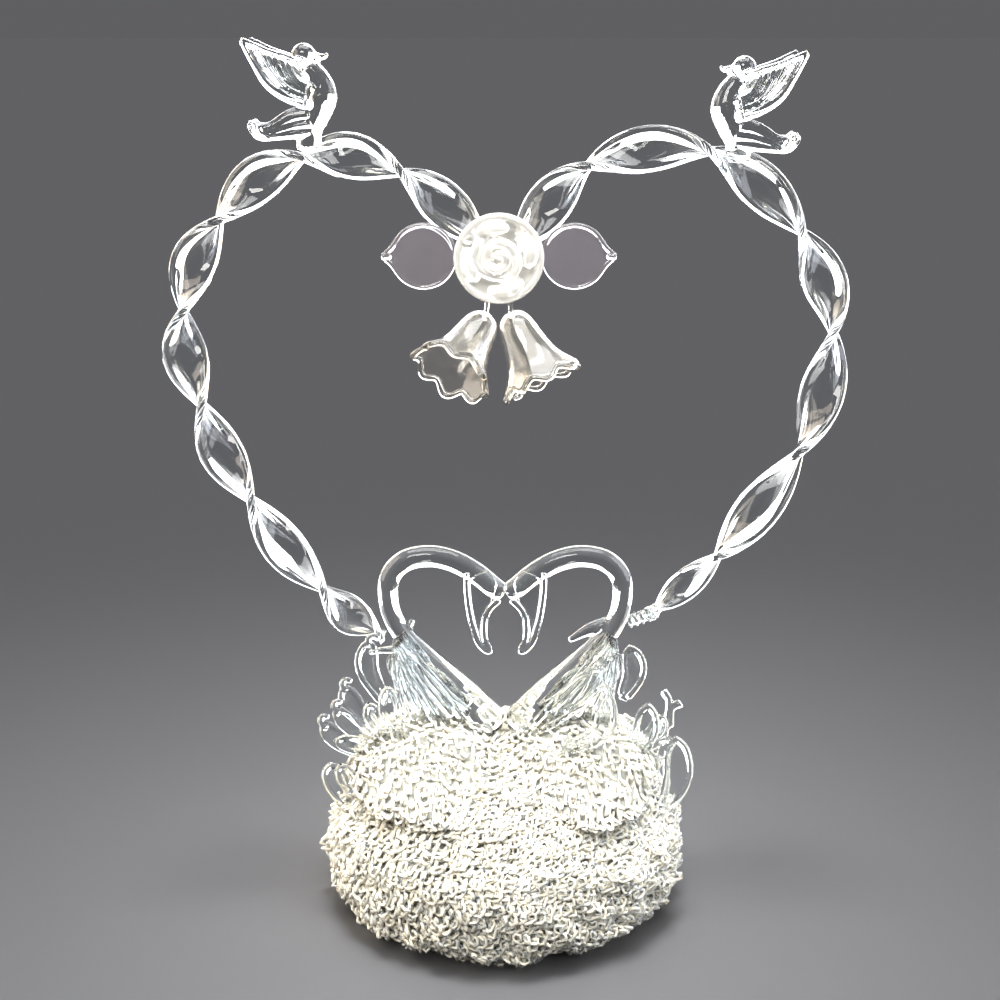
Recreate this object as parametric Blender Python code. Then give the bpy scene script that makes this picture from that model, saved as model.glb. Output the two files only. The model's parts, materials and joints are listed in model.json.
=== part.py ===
"""Clear glass wedding cake topper, made at the lamp from borosilicate rod.

Two swans stand face to face on a puffed base of lace glass, with necks that draw a small heart.
A large heart of twisted flat ribbon rises behind them and carries a rose with two leaves and two
bells at its cleft, and a dove on each lobe. Each piece is made by itself and fused to the next at
small points, so it is a solid of its own here, with a hair of air where the fused point would be.

Metres, +Z up, origin at the middle of the foot. The figures face the viewer, who stands at -Y.
"""
import math

import bmesh
import bpy
from mathutils import Matrix, Vector

# Air left between one piece and the next, where the real ones are fused
GAP = 0.0003

# Base of lace glass: a hollow bun that stands on a flat ring
BASE_DIAMETER = 0.070
BASE_HEIGHT = 0.026
BASE_WALL = 0.003
FOOT_DIAMETER = 0.057
FOOT_RING = 0.003
BASE_POWER = 3.0
BASE_BELLY = 0.48

# Heart of twisted ribbon, measured on the ribbon's middle line
HEART_WIDTH = 0.122
HEART_HEIGHT = 0.105
HEART_Y = 0.0045
RIBBON_WIDTH = 0.0085
RIBBON_RIM = 0.0022
RIBBON_WAIST = 0.0014

# Swans: height from the base's top to the top of the neck's arch, and thickness of the neck there
SWAN_HEIGHT = 0.0466
SWAN_NECK = 0.0036

# Rose, leaves and bells at the cleft: the rose sits a little left of the middle, at a share of the
# heart's height
ROSE_OFFSET = 0.0012
ROSE_RISE_SHARE = 0.831
ROSE_DIAMETER = 0.0164
ROSE_DEPTH = 0.006
LEAF_LENGTH = 0.0138
LEAF_WIDTH = 0.0122
LEAF_RIM = 0.0016
LEAF_WEB = 0.0010
BELL_LENGTH = 0.0132
BELL_MOUTH = 0.0140
BELL_WALL = 0.0010
BELL_DROP = 0.0024
THREAD = 0.0009

# Doves: height from the ribbon to the wing tips
DOVE_HEIGHT = 0.0191

# Where each ribbon is edge-on: share of half the heart's width, share of its height above the
# swans' breasts, share of the full ribbon's width
LEFT_CROSSING_SHARES = [
    (0.056, 0.840, 1.0), (0.303, 0.966, 1.0), (0.603, 0.997, 1.0), (0.868, 0.887, 1.0),
    (0.990, 0.720, 1.0), (0.939, 0.543, 1.0), (0.790, 0.363, 1.0), (0.568, 0.192, 1.0),
    (0.392, 0.110, 0.75),
]
RIGHT_CROSSING_SHARES = [
    (0.030, 0.840, 1.0), (0.256, 0.982, 1.0), (0.612, 1.002, 1.0), (0.885, 0.868, 1.0),
    (1.000, 0.699, 1.0), (0.930, 0.486, 1.0), (0.695, 0.286, 1.0), (0.536, 0.170, 0.50),
    (0.466, 0.152, 0.34), (0.400, 0.146, 0.34),
]
RIBBON_STEPS = 7
RIBBON_LEAST_SHARE = 0.7

# The swans are drawn on a grid where the neck's arch is 46.6 high. Each point is (out from the
# middle of the topper, up from the base, ...), and the last number of a neck point is its radius.
SWAN_GRID = 46.6
NECK_GRID = [
    (1.3, 8.8, 1.2), (2.1, 9.8, 2.4), (3.2, 11.2, 3.6), (8.2, 16.8, 3.3), (13.8, 22.5, 2.7),
    (18.9, 27.9, 2.2), (21.6, 32.4, 1.9), (22.6, 37.2, 1.8), (22.0, 41.4, 1.8), (19.0, 44.2, 1.8),
    (14.2, 44.8, 1.8), (9.2, 43.4, 1.8), (5.2, 40.6, 1.8), (2.3, 38.0, 1.7), (1.3, 37.0, 1.0),
]
ROD_GRID = 1.8
BREAST_GRID = 14.2
# Eggs of the body and the folded wing: out and up of the middle, half length, half height, half depth
BODY_GRID = (15.4, 6.9, 15.0, 6.7, 5.4)
WING_GRID = (14.2, 18.0, 11.5, 5.9, 4.6)
WING_LEAN = math.radians(43)
WING_FLUTE = 0.86
FEATHER_THICK_GRID = 0.8
FEATHER_LEAN_GRID = 1.6
HEAD_GRID = [
    (5.0, 40.0, 3.2, 1.5), (5.1, 37.2, 3.1, 1.3), (5.7, 33.4, 1.5, 1.1), (5.3, 29.4, 0.9, 0.9),
    (4.3, 26.8, 0.8, 0.8), (2.9, 25.7, 0.8, 0.8), (2.2, 26.3, 0.5, 0.5),
]
LEFT_FEATHER_GRID = [
    (1.2, 6.2, (18.5, 12.0), (26.4, 20.5), (25.4, 28.8)),
    (-4.4, 5.0, (17.0, 9.5), (20.6, 15.5), (21.2, 19.8)),
    (-1.6, 5.4, (18.5, 8.5), (27.0, 15.0), (30.6, 20.4)),
    (-4.6, 4.8, (20.0, 6.5), (26.6, 12.6), (29.4, 16.8)),
    (-2.4, 5.0, (21.0, 6.0), (30.2, 9.0), (34.6, 12.4)),
    (-0.6, 4.8, (21.0, 3.5), (30.6, 4.2), (34.0, 5.9)),
    (-3.6, 4.8, (21.0, 3.4), (29.5, 1.6), (34.0, -0.6)),
]
RIGHT_FEATHER_GRID = [
    (1.2, 6.2, (18.5, 11.5), (25.0, 19.5), (22.9, 26.6)),
    (-4.8, 5.2, (16.0, 6.5), (20.4, 12.5), (18.8, 19.2)),
    (-3.6, 5.8, (18.0, 6.5), (25.8, 11.0), (25.8, 17.0)),
    (-0.4, 4.2, (21.0, 7.5), (27.8, 11.6), (30.2, 16.8)),
    (-1.6, 3.6, (22.0, 6.0), (30.6, 10.2), (34.4, 14.6)),
    (-2.8, 5.2, (21.0, 4.5), (31.6, 6.6), (35.2, 0.4)),
]
LEFT_SPUR_GRID = [(19.4, 27.6), (18.6, 30.0), (17.6, 31.6)]
RIGHT_SPUR_GRID = [(19.5, 30.4), (16.0, 29.6), (12.2, 27.4)]

# The doves are drawn on a grid where the wing tips are 19.1 high: (towards the beak, up, ...)
DOVE_GRID = 19.1
DOVE_BODY_GRID = [
    (-0.6, 0.0, 1.4), (-0.4, 2.6, 1.6), (0.5, 6.4, 2.7), (1.2, 9.8, 3.3), (0.1, 12.6, 2.5),
    (-1.0, 14.3, 1.9), (-1.3, 16.2, 2.4), (-1.2, 17.7, 1.9), (-1.1, 18.6, 0.8),
]
DOVE_BEAK_GRID = [(0.2, 16.6, 1.3), (1.6, 16.6, 0.8), (3.2, 16.4, 0.2)]
DOVE_TAIL_GRID = [
    (-0.4, 5.0, 2.6, 1.6), (-4.4, 4.3, 2.0, 2.2), (-8.0, 3.0, 1.2, 3.1), (-10.4, 3.4, 0.9, 3.5),
    (-11.4, 4.9, 0.5, 3.0),
]
DOVE_WING_GRID = [
    (-0.4, 11.0, 2.6, 0.75), (-3.6, 12.4, 3.6, 0.75), (-6.4, 14.0, 3.2, 0.75), (-8.8, 16.0, 2.1, 0.75),
    (-10.4, 17.9, 1.0, 0.4), (-11.0, 18.9, 0.3, 0.4),
]


def clear_scene():
    for item in list(bpy.data.objects):
        bpy.data.objects.remove(item, do_unlink=True)


def glass(name, colour, roughness):
    """One glass of the topper: clear, colourless, a little frosted where it was worked."""
    material = bpy.data.materials.new(name)
    material.use_nodes = True
    shader = material.node_tree.nodes["Principled BSDF"]
    shader.inputs["Base Color"].default_value = (*colour, 1.0)
    shader.inputs["Roughness"].default_value = roughness
    shader.inputs["Metallic"].default_value = 0.0
    shader.inputs["Transmission Weight"].default_value = 1.0
    shader.inputs["IOR"].default_value = 1.47
    return material


def smooth(points, steps):
    """Points along a smooth curve through the given ones, with steps to each stretch."""
    line = [Vector(p) for p in points]
    line = [2 * line[0] - line[1]] + line + [2 * line[-1] - line[-2]]
    out = []
    for a, b, c, d in zip(line, line[1:], line[2:], line[3:]):
        for k in range(steps):
            t = k / steps
            out.append(0.5 * (2 * b + (c - a) * t + (2 * a - 5 * b + 4 * c - d) * t ** 2
                              + (3 * b - a - 3 * c + d) * t ** 3))
    out.append(line[-2])
    return out


def directions(line):
    """Unit direction of a line at each of its points."""
    ends = [line[0]] + line + [line[-1]]
    return [(after - before).normalized() for before, after in zip(ends, ends[2:])]


def loft(rings):
    """Closed mesh through rings of as many points each, with a flat cap at both ends."""
    bm = bmesh.new()
    loops = [[bm.verts.new(p) for p in ring] for ring in rings]
    count = len(loops[0])
    for low, high in zip(loops, loops[1:]):
        for k in range(count):
            bm.faces.new((low[k], low[(k + 1) % count], high[(k + 1) % count], high[k]))
    bm.faces.new(loops[0][::-1])
    bm.faces.new(loops[-1])
    bmesh.ops.recalc_face_normals(bm, faces=bm.faces)
    mesh = bpy.data.meshes.new("loft")
    bm.to_mesh(mesh)
    bm.free()
    return mesh


def turned(profile, segments, flute=None):
    """Closed mesh of a profile of (radius, height) pairs turned about Z, ends on the axis or meeting.

    flute(angle, index) gives a factor for the radius, which makes a wavy rim.
    """
    bm = bmesh.new()
    loops = []
    for index, (radius, height) in enumerate(profile):
        if radius == 0:
            loops.append([bm.verts.new((0, 0, height))] * segments)
            continue
        ring = []
        for k in range(segments):
            angle = 2 * math.pi * k / segments
            r = radius * (flute(angle, index) if flute else 1.0)
            ring.append(bm.verts.new((r * math.cos(angle), r * math.sin(angle), height)))
        loops.append(ring)
    if profile[0][0] > 0:
        loops.append(loops[0])
    for low, high in zip(loops, loops[1:]):
        for k in range(segments):
            j = (k + 1) % segments
            corners = dict.fromkeys((low[k], low[j], high[j], high[k]))
            if len(corners) > 2:
                bm.faces.new(list(corners))
    bmesh.ops.recalc_face_normals(bm, faces=bm.faces)
    mesh = bpy.data.meshes.new("turned")
    bm.to_mesh(mesh)
    bm.free()
    return mesh


def place(name, mesh, material, location=(0, 0, 0), angle=math.radians(35)):
    """Named object with its mesh, smooth over the round parts and sharp at real edges."""
    item = bpy.data.objects.new(name, mesh)
    bpy.context.collection.objects.link(item)
    item.location = location
    mesh.materials.clear()
    mesh.materials.append(material)
    mesh.shade_smooth()
    mesh.set_sharp_from_angle(angle=angle)
    return item


def fused(meshes):
    """One mesh of several closed ones, joined as glass melts together."""
    parts = [bpy.data.objects.new("part", mesh) for mesh in meshes]
    for item in parts:
        bpy.context.collection.objects.link(item)
    for item in parts[1:]:
        join = parts[0].modifiers.new("Join", "BOOLEAN")
        join.operation = "UNION"
        join.solver = "EXACT"
        join.object = item
    graph = bpy.context.evaluated_depsgraph_get()
    mesh = bpy.data.meshes.new_from_object(parts[0].evaluated_get(graph))
    for item in parts:
        bpy.data.objects.remove(item, do_unlink=True)
    return mesh


def rod(line, sides):
    """Round rod through points of (x, y, z, radius)."""
    middle = [Vector(p[:3]) for p in line]
    rings = []
    for point, along, (_, _, _, radius) in zip(middle, directions(middle), line):
        across = along.cross(Vector((0, 1, 0))).normalized()
        up = across.cross(along)
        turns = [2 * math.pi * (k + 0.5) / sides for k in range(sides)]
        rings.append([point + radius * (math.cos(t) * across + math.sin(t) * up) for t in turns])
    return loft(rings)


def blade(line, ribs=0):
    """Flat tapering piece through points of (x, y, z, half width, half thickness).

    It lies in the plane that holds its line and Z, and ribs run along both of its faces.
    """
    middle = [Vector(p[:3]) for p in line]
    marks = 2 * ribs + 1 if ribs else 2
    rings = []
    for point, along, (_, _, _, wide, thick) in zip(middle, directions(middle), line):
        face = Vector((0, 1, 0))
        face = (face - face.dot(along) * along).normalized()
        across = along.cross(face)
        front = []
        for k in range(marks):
            share = 1 - 2 * (k + 1) / (marks + 1)
            depth = thick * (0.55 if ribs and k % 2 else 1.0)
            front.append((share * wide, depth))
        back = [(a, -b) for a, b in reversed(front)]
        outline = [(wide, 0)] + front + [(-wide, 0)] + back
        rings.append([point + a * across + b * face for a, b in outline])
    return loft(rings)


def base_profile():
    """Height of the base's outer skin, from the foot up to the middle of the top."""
    low = BASE_BELLY * BASE_HEIGHT
    high = BASE_HEIGHT - low
    outer, inner = [], []
    reach = FOOT_DIAMETER / BASE_DIAMETER
    start = -math.acos(reach ** (BASE_POWER / 2))
    for k in range(9):
        turn = start + (math.pi / 2 - start) * k / 8
        radius = BASE_DIAMETER / 2 * math.cos(turn) ** (2 / BASE_POWER) if k < 8 else 0
        rise = abs(math.sin(turn)) ** (2 / BASE_POWER) * (1 if turn > 0 else -1)
        bottom = abs(math.sin(start)) ** (2 / BASE_POWER)
        height = low + rise * (high if turn > 0 else low / bottom)
        outer.append((radius, height))
    scale = 1 - 2 * BASE_WALL / BASE_DIAMETER
    for radius, height in reversed(outer[2::2]):
        inner.append((radius * scale, low + (height - low) * (high - BASE_WALL) / high))
    inner.append((FOOT_DIAMETER / 2 - FOOT_RING, 0.0))
    return outer, inner


def make_base(material):
    outer, inner = base_profile()
    return place("lace_base", turned(outer + inner, 32), material)


def swan_foot():
    """Height at which the swans stand: on the base's top, with the gap."""
    return BASE_HEIGHT + GAP


def swan_unit():
    return SWAN_HEIGHT / SWAN_GRID


def swan_y():
    """Middle plane of the swans: the necks touch the ribbons' front edges, but for the gap."""
    return HEART_Y - RIBBON_WIDTH / 2 - GAP - SWAN_NECK / 2


def swan_point(side, out, up, y=0.0):
    unit = swan_unit()
    return Vector((side * (out * unit + GAP / 2), swan_y() + y * unit, swan_foot() + up * unit))


def swan_body(side):
    """Egg of the body, lying on the base with the breast at the middle of the topper."""
    out, up, long, high, deep = BODY_GRID
    rings = []
    for k in range(9):
        turn = math.pi * (0.5 + k) / 9
        rings.append([swan_point(side, out - long * math.cos(turn), up + high * math.sin(turn) * math.sin(a),
                                 deep * math.sin(turn) * math.cos(a))
                      for a in [2 * math.pi * j / 12 for j in range(12)]])
    return loft(rings)


def swan_wing(side):
    """Folded wing: a fluted egg that leans along the lower neck."""
    out, up, long, high, deep = WING_GRID
    rings = []
    for k in range(9):
        turn = math.pi * (0.5 + k) / 9
        along = -long * math.cos(turn)
        ring = []
        for j in range(16):
            angle = 2 * math.pi * j / 16
            flute = 1.0 if j % 2 else WING_FLUTE
            wide = high * math.sin(turn) * math.sin(angle) * flute
            ring.append(swan_point(side, out + along * math.cos(WING_LEAN) + wide * math.sin(WING_LEAN),
                                   up + along * math.sin(WING_LEAN) - wide * math.cos(WING_LEAN),
                                   deep * math.sin(turn) * math.cos(angle) * flute))
        rings.append(ring)
    return loft(rings)


def feather(side, y, width, root, middle, tip, unit):
    """Petal-like feather from its root over its middle to a rounded tip that leans forward."""
    line = []
    for k, (out, up) in enumerate(smooth([root, middle, tip], 3)):
        share = k / 6
        swell = 0.45 + 0.55 * math.sin(math.pi / 2 * min(1.0, share / 0.65))
        round_end = math.sqrt(1 - (max(0.0, share - 0.70) / 0.33) ** 2)
        wide = width / 2 * swell * round_end
        lean = -FEATHER_LEAN_GRID * share ** 2
        thick = FEATHER_THICK_GRID if k < 6 else 0.6 * FEATHER_THICK_GRID
        line.append((*swan_point(side, out, up, y + lean), wide * unit, thick * unit))
    return blade(line)


def make_swan(name, side, feathers, spur, material):
    unit = swan_unit()
    neck_scale = SWAN_NECK / 2 / ROD_GRID
    neck = [(*swan_point(side, out, up), r * (neck_scale if r < 1.3 * ROD_GRID else unit))
            for out, up, r in smooth(NECK_GRID, 2)]
    head = [(*swan_point(side, out, up), wide * unit, thick * unit) for out, up, wide, thick in HEAD_GRID]
    horn = [(*swan_point(side, out, up, 0.4), (1.5 - 0.4 * k) * unit, (0.9 - 0.15 * k) * unit)
            for k, (out, up) in enumerate(spur)]
    meshes = [swan_body(side), rod(neck, 8), swan_wing(side), blade(head), blade(horn)]
    meshes += [feather(side, y, width, *line, unit) for y, width, *line in feathers]
    return place(name, fused(meshes), material)


def breast_height():
    """Height of the notch between the swans' breasts, where the heart's lower point would be."""
    return swan_foot() + BREAST_GRID * swan_unit()


def ribbon_line(side):
    """Points (x, z, share of width, turn) along the middle of a ribbon."""
    crossings = LEFT_CROSSING_SHARES if side < 0 else RIGHT_CROSSING_SHARES
    points = smooth(crossings, RIBBON_STEPS)
    return [(side * share_x * HEART_WIDTH / 2, breast_height() + share_z * HEART_HEIGHT, wide,
             math.pi * k / RIBBON_STEPS) for k, (share_x, share_z, wide) in enumerate(points)]


def make_ribbon(name, side, material):
    """Flat rod with round rims, twisted half a turn between crossings, bent to half a heart."""
    line = ribbon_line(side)
    middle = [Vector((x, HEART_Y, z)) for x, z, _, _ in line]
    half, rim, waist = RIBBON_WIDTH / 2, RIBBON_RIM / 2, RIBBON_WAIST / 2
    outline = [(half, 0.0), (half - rim * 0.8, rim), (0.0, waist), (rim * 0.8 - half, rim),
               (-half, 0.0), (rim * 0.8 - half, -rim), (0.0, -waist), (half - rim * 0.8, -rim)]
    rings = []
    for point, along, (_, _, wide, turn) in zip(middle, directions(middle), line):
        depth = Vector((0, 1, 0))
        flat = along.cross(depth)
        across = math.cos(turn) * depth + math.sin(turn) * flat
        face = along.cross(across)
        thin = max(wide, RIBBON_LEAST_SHARE)
        rings.append([point + wide * a * across + thin * b * face for a, b in outline])
    return place(name, loft(rings), material)


def ribbon_top(side, x):
    """Highest point of a ribbon's lobe, within half a ribbon's width of x."""
    return max(z + wide * math.hypot(RIBBON_WIDTH / 2 * math.sin(turn), RIBBON_RIM / 2 * math.cos(turn))
               for near, z, wide, turn in ribbon_line(side)
               if abs(near - x) < RIBBON_WIDTH / 2 and z > breast_height() + HEART_HEIGHT / 2)


def rose_place():
    """Middle of the rose: at the cleft, in front of the ribbons' ends."""
    return Vector((-ROSE_OFFSET, HEART_Y - RIBBON_WIDTH / 2 - GAP - ROSE_DEPTH / 2,
                   breast_height() + ROSE_RISE_SHARE * HEART_HEIGHT))


def make_rose(material):
    """Shallow cup with a rolled rim, and a petal wall that winds inwards on its face."""
    radius, depth = ROSE_DIAMETER / 2, ROSE_DEPTH
    cup = turned([(0, -0.5 * depth), (0.62 * radius, -0.40 * depth), (0.95 * radius, 0.02 * depth),
                  (radius, 0.24 * depth), (0.92 * radius, 0.33 * depth), (0.83 * radius, 0.20 * depth),
                  (0, 0.14 * depth)], 20)
    rings = []
    count = 26
    for k in range(count + 1):
        share = k / count
        angle = 2 * math.pi * 2.4 * share
        reach = radius * (0.74 - 0.66 * share)
        wall = radius * 0.075
        swell = 0.5 + 0.5 * math.sin(5 * angle / 2.0) * (1 - share)
        top = depth * (0.30 + 0.10 * share + 0.08 * swell)
        out = Vector((math.cos(angle), math.sin(angle), 0))
        low, high = Vector((0, 0, 0.05 * depth)), Vector((0, 0, top))
        rings.append([(reach + wall) * out + low, (reach + wall) * out + high * 0.85,
                      reach * out + high, (reach - wall) * out + high * 0.85, (reach - wall) * out + low])
    mesh = fused([cup, loft(rings)])
    mesh.transform(Matrix.Rotation(math.radians(90), 4, "X"))
    return place("rose", mesh, material, rose_place())


def make_leaf(name, side, material):
    """Flat round leaf with a drawn-out point, a round rim and a thinner web."""
    half = LEAF_WIDTH / 2
    point = LEAF_LENGTH - half

    def edge(angle, inset):
        reach = half - inset
        tip = (point - half) * max(0.0, 1 - abs(angle) / 0.42) ** 1.6
        return Vector((side * (half + (reach + tip) * math.cos(angle)), 0, (reach + tip) * math.sin(angle)))

    levels = [(1.6, LEAF_WEB / 2), (1.0, LEAF_RIM / 2), (0.35, LEAF_RIM / 2), (0.0, LEAF_RIM / 5)]
    loops = [(inset, y) for inset, y in levels] + [(inset, -y) for inset, y in reversed(levels)]
    angles = [math.pi * (k + 0.5) / 9 for k in range(-9, 9)]
    angles = sorted(angles + [0.0])
    rings = [[edge(a, inset * LEAF_RIM / 2) + Vector((0, y, 0)) for a in angles] for inset, y in loops]
    rose = rose_place()
    location = (rose.x + side * (ROSE_DIAMETER / 2 + GAP), rose.y + ROSE_DEPTH / 4, rose.z)
    return place(name, loft(rings), material, location)


def make_bell(name, crown_share, y_share, axis, material):
    """Bell with a wavy mouth, hung from the rose by a short thread that is fused to its crown."""
    long, mouth, wall = BELL_LENGTH, BELL_MOUTH / 2, BELL_WALL
    outer = [(0, 0), (0.19 * mouth, 0.02 * long), (0.36 * mouth, 0.11 * long), (0.44 * mouth, 0.26 * long),
             (0.52 * mouth, 0.50 * long), (0.66 * mouth, 0.74 * long), (mouth, long)]
    inner = [(r - wall, h + (0.9 * wall if h < 0.12 * long else 0.0)) for r, h in outer[2:-1]]
    inner = [(0, outer[1][1] + 1.2 * wall)] + inner + [(mouth - 0.9 * wall, long)]

    def wave(angle, index):
        at_mouth = index in (len(outer) - 1, len(outer))
        return 1.0 + (0.07 if at_mouth else 0.0) * math.cos(5 * angle)

    cup = turned(outer + inner[::-1], 18, wave)
    down = Vector(axis).normalized()
    turn = Vector((0, 0, 1)).rotation_difference(down).to_matrix().to_4x4()
    cup.transform(turn)
    rose = rose_place()
    root = Vector((rose.x + crown_share * ROSE_DIAMETER, rose.y + y_share * ROSE_DEPTH,
                   rose.z - ROSE_DIAMETER / 2 - BELL_DROP))
    drop = math.sqrt((ROSE_DIAMETER / 2) ** 2 - (crown_share * 0.8 * ROSE_DIAMETER) ** 2)
    hook = Vector((-crown_share * 0.2 * ROSE_DIAMETER, -y_share * ROSE_DEPTH * 0.8,
                   rose.z - drop - GAP - root.z))
    thread = rod([(*(down * wall), THREAD / 2), (*(hook * 0.45), THREAD / 2), (*hook, THREAD / 2)], 8)
    return place(name, fused([cup, thread]), material, root)


def make_dove(name, side, x_share, material):
    """Dove on a lobe, beak to the middle, wings raised in a V and tail spread behind."""
    unit = DOVE_HEIGHT / DOVE_GRID
    beak_way = -side
    x = side * x_share * HEART_WIDTH / 2
    foot = ribbon_top(side, x) + GAP

    def spot(along, up, y=0.0):
        return Vector((beak_way * along * unit, y * unit, up * unit))

    body = [(*spot(a, up), r * unit) for a, up, r in smooth(DOVE_BODY_GRID, 2)]
    beak = [(*spot(a, up), r * unit) for a, up, r in DOVE_BEAK_GRID]
    tail = [(*spot(a, up), high * unit, wide * unit) for a, up, high, wide in DOVE_TAIL_GRID]
    meshes = [rod(body, 8), rod(beak, 6), blade(tail)]
    for hand in (-1, 1):
        wing = [(*spot(a, up, hand * (1.5 + 0.32 * abs(a + 0.4))), wide * unit, thick * unit)
                for a, up, wide, thick in DOVE_WING_GRID]
        meshes.append(blade(wing, ribs=2))
    return place(name, fused(meshes), material, (x, HEART_Y, foot))


def build():
    clear_scene()
    clear = glass("clear_glass", (0.95, 0.97, 0.98), 0.03)
    lace = glass("lace_glass", (0.98, 0.98, 0.96), 0.15)
    make_base(lace)
    make_swan("swan_left", -1, LEFT_FEATHER_GRID, LEFT_SPUR_GRID, clear)
    make_swan("swan_right", 1, RIGHT_FEATHER_GRID, RIGHT_SPUR_GRID, clear)
    make_ribbon("heart_ribbon_left", -1, clear)
    make_ribbon("heart_ribbon_right", 1, clear)
    make_rose(clear)
    make_leaf("leaf_left", -1, clear)
    make_leaf("leaf_right", 1, clear)
    make_bell("bell_left", -0.17, -0.35, (-0.455, -0.64, -0.63), clear)
    make_bell("bell_right", 0.15, 0.15, (0.443, -0.25, -0.86), clear)
    make_dove("dove_left", -1, 0.566, clear)
    make_dove("dove_right", 1, 0.675, clear)


build()
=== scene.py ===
"""Blown glass cake topper: two swans on lace glass, under a heart of twisted ribbon.

The pieces follow the order in which the topper is put together at the lamp. Lengths are in
millimetres until MM turns them to metres, and the studio's are in metres. The viewer stands at -Y.
"""

import json
import math
import random

import bpy
from mathutils import Matrix, Vector, noise

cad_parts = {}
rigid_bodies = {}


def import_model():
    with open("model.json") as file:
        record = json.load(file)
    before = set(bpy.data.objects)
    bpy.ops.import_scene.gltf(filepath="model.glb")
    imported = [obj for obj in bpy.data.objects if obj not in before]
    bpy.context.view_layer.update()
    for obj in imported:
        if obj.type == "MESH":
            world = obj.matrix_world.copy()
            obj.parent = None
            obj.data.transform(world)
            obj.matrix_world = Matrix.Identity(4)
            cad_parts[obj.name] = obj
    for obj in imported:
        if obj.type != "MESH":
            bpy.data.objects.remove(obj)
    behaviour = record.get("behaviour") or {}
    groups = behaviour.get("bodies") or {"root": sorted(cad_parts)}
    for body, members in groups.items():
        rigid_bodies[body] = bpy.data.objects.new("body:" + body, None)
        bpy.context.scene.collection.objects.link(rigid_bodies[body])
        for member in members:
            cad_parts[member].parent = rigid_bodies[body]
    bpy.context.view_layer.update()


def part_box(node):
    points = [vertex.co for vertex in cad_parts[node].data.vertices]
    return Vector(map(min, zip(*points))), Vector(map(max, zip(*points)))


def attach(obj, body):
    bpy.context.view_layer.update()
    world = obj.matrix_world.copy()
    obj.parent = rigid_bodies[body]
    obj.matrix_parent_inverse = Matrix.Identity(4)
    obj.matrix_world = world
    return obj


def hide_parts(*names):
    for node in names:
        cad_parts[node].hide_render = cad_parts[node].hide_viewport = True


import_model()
MM = 0.001

# Lace base. A hollow bun with a softly domed top, 70 mm across, of thin glass thread that is laid
# round and round in small loops on a form and melted together as it lands. Clear thread, but so
# much of it that it looks like packed snow with small dark pits.

BASE_RADIUS = 35.0
BASE_HEIGHT = 26.0
BELLY_HEIGHT = 12.5
FOOT_RADIUS = 28.5
SKIN_POWER = 3.0
DOME_HEIGHT = 8.5
DOME_RADIUS = 31.0
THREAD_RADIUS = 0.34
LOOP_RADIUS = 0.82
LOOP_JITTER = 0.20
LOOP_PITCH = 1.68
LOOP_POINTS = 7
LOOP_SIZES = (0.65, 1.45)
LOOP_SHIFT = 0.75
LOOP_TIPS = (0.10, 1.05)
LOOP_LIFTS = (-0.30, 0.35)
COURSE_PITCH = 1.50
LAYER_DEPTHS = (0.8, 1.6)
LUMP_SIZE = 3.6
LUMP_HEIGHT = 1.9
CRUMB_SIZE = 0.9
CRUMB_HEIGHT = 0.45
BACKING_PITCH = 0.9
BACKING_DEPTH = 2.5
BACKING_WALL = 1.3
GLASS_IOR = 1.47


def linear(code):
    """Linear colour of an sRGB hex value."""
    shares = [int(code[k:k + 2], 16) / 255 for k in (1, 3, 5)]
    return [s / 12.92 if s <= 0.04045 else ((s + 0.055) / 1.055) ** 2.4 for s in shares] + [1.0]


def add_node(tree, kind, values=None, links=None, **settings):
    """Adds a node, sets its settings and inputs, and links inputs to (node, output) pairs."""
    node = tree.nodes.new(kind)
    for name, value in settings.items():
        setattr(node, name, value)
    for name, value in (values or {}).items():
        node.inputs[name].default_value = value
    for name, (source, output) in (links or {}).items():
        tree.links.new(source.outputs[output], node.inputs[name])
    return node


def new_material(name):
    """Empty material with its node tree."""
    material = bpy.data.materials.new(name)
    material.use_nodes = True
    material.node_tree.nodes.clear()
    return material, material.node_tree


def evenly(line, pitch):
    """Points of a fine line, spaced evenly by about the pitch."""
    lengths = [0.0]
    for low, high in zip(line, line[1:]):
        lengths.append(lengths[-1] + (high - low).length)
    count = round(lengths[-1] / pitch)
    even = []
    k = 0
    for j in range(count + 1):
        goal = lengths[-1] * j / count
        while k < len(line) - 2 and lengths[k + 1] < goal:
            k += 1
        share = (goal - lengths[k]) / max(1e-9, lengths[k + 1] - lengths[k])
        even.append(line[k].lerp(line[k + 1], share))
    return even


def base_skin(pitch):
    """Points up the base's outer skin, from the foot to the middle of the top."""
    start = -math.acos((FOOT_RADIUS / BASE_RADIUS) ** (SKIN_POWER / 2))
    bottom = abs(math.sin(start)) ** (2 / SKIN_POWER)
    steps = 800
    fine = []
    for k in range(steps + 1):
        turn = start + (math.pi / 2 - start) * k / steps
        radius = BASE_RADIUS * max(0.0, math.cos(turn)) ** (2 / SKIN_POWER)
        rise = abs(math.sin(turn)) ** (2 / SKIN_POWER)
        if turn > 0:
            height = BELLY_HEIGHT + rise * (BASE_HEIGHT - BELLY_HEIGHT)
            height += DOME_HEIGHT * max(0.0, 1 - (radius / DOME_RADIUS) ** 2)
        else:
            height = BELLY_HEIGHT * (1 - rise / bottom)
        fine.append(Vector((radius, 0.0, height)))
    return evenly(fine, pitch)


def outward(points):
    """Unit normals of a profile that climbs from the foot to the middle of the top."""
    ends = [points[0]] + points + [points[-1]]
    out = []
    for low, high in zip(ends, ends[2:]):
        way = (high - low).normalized()
        out.append(Vector((way.z, 0.0, -way.x)))
    return out


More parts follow.
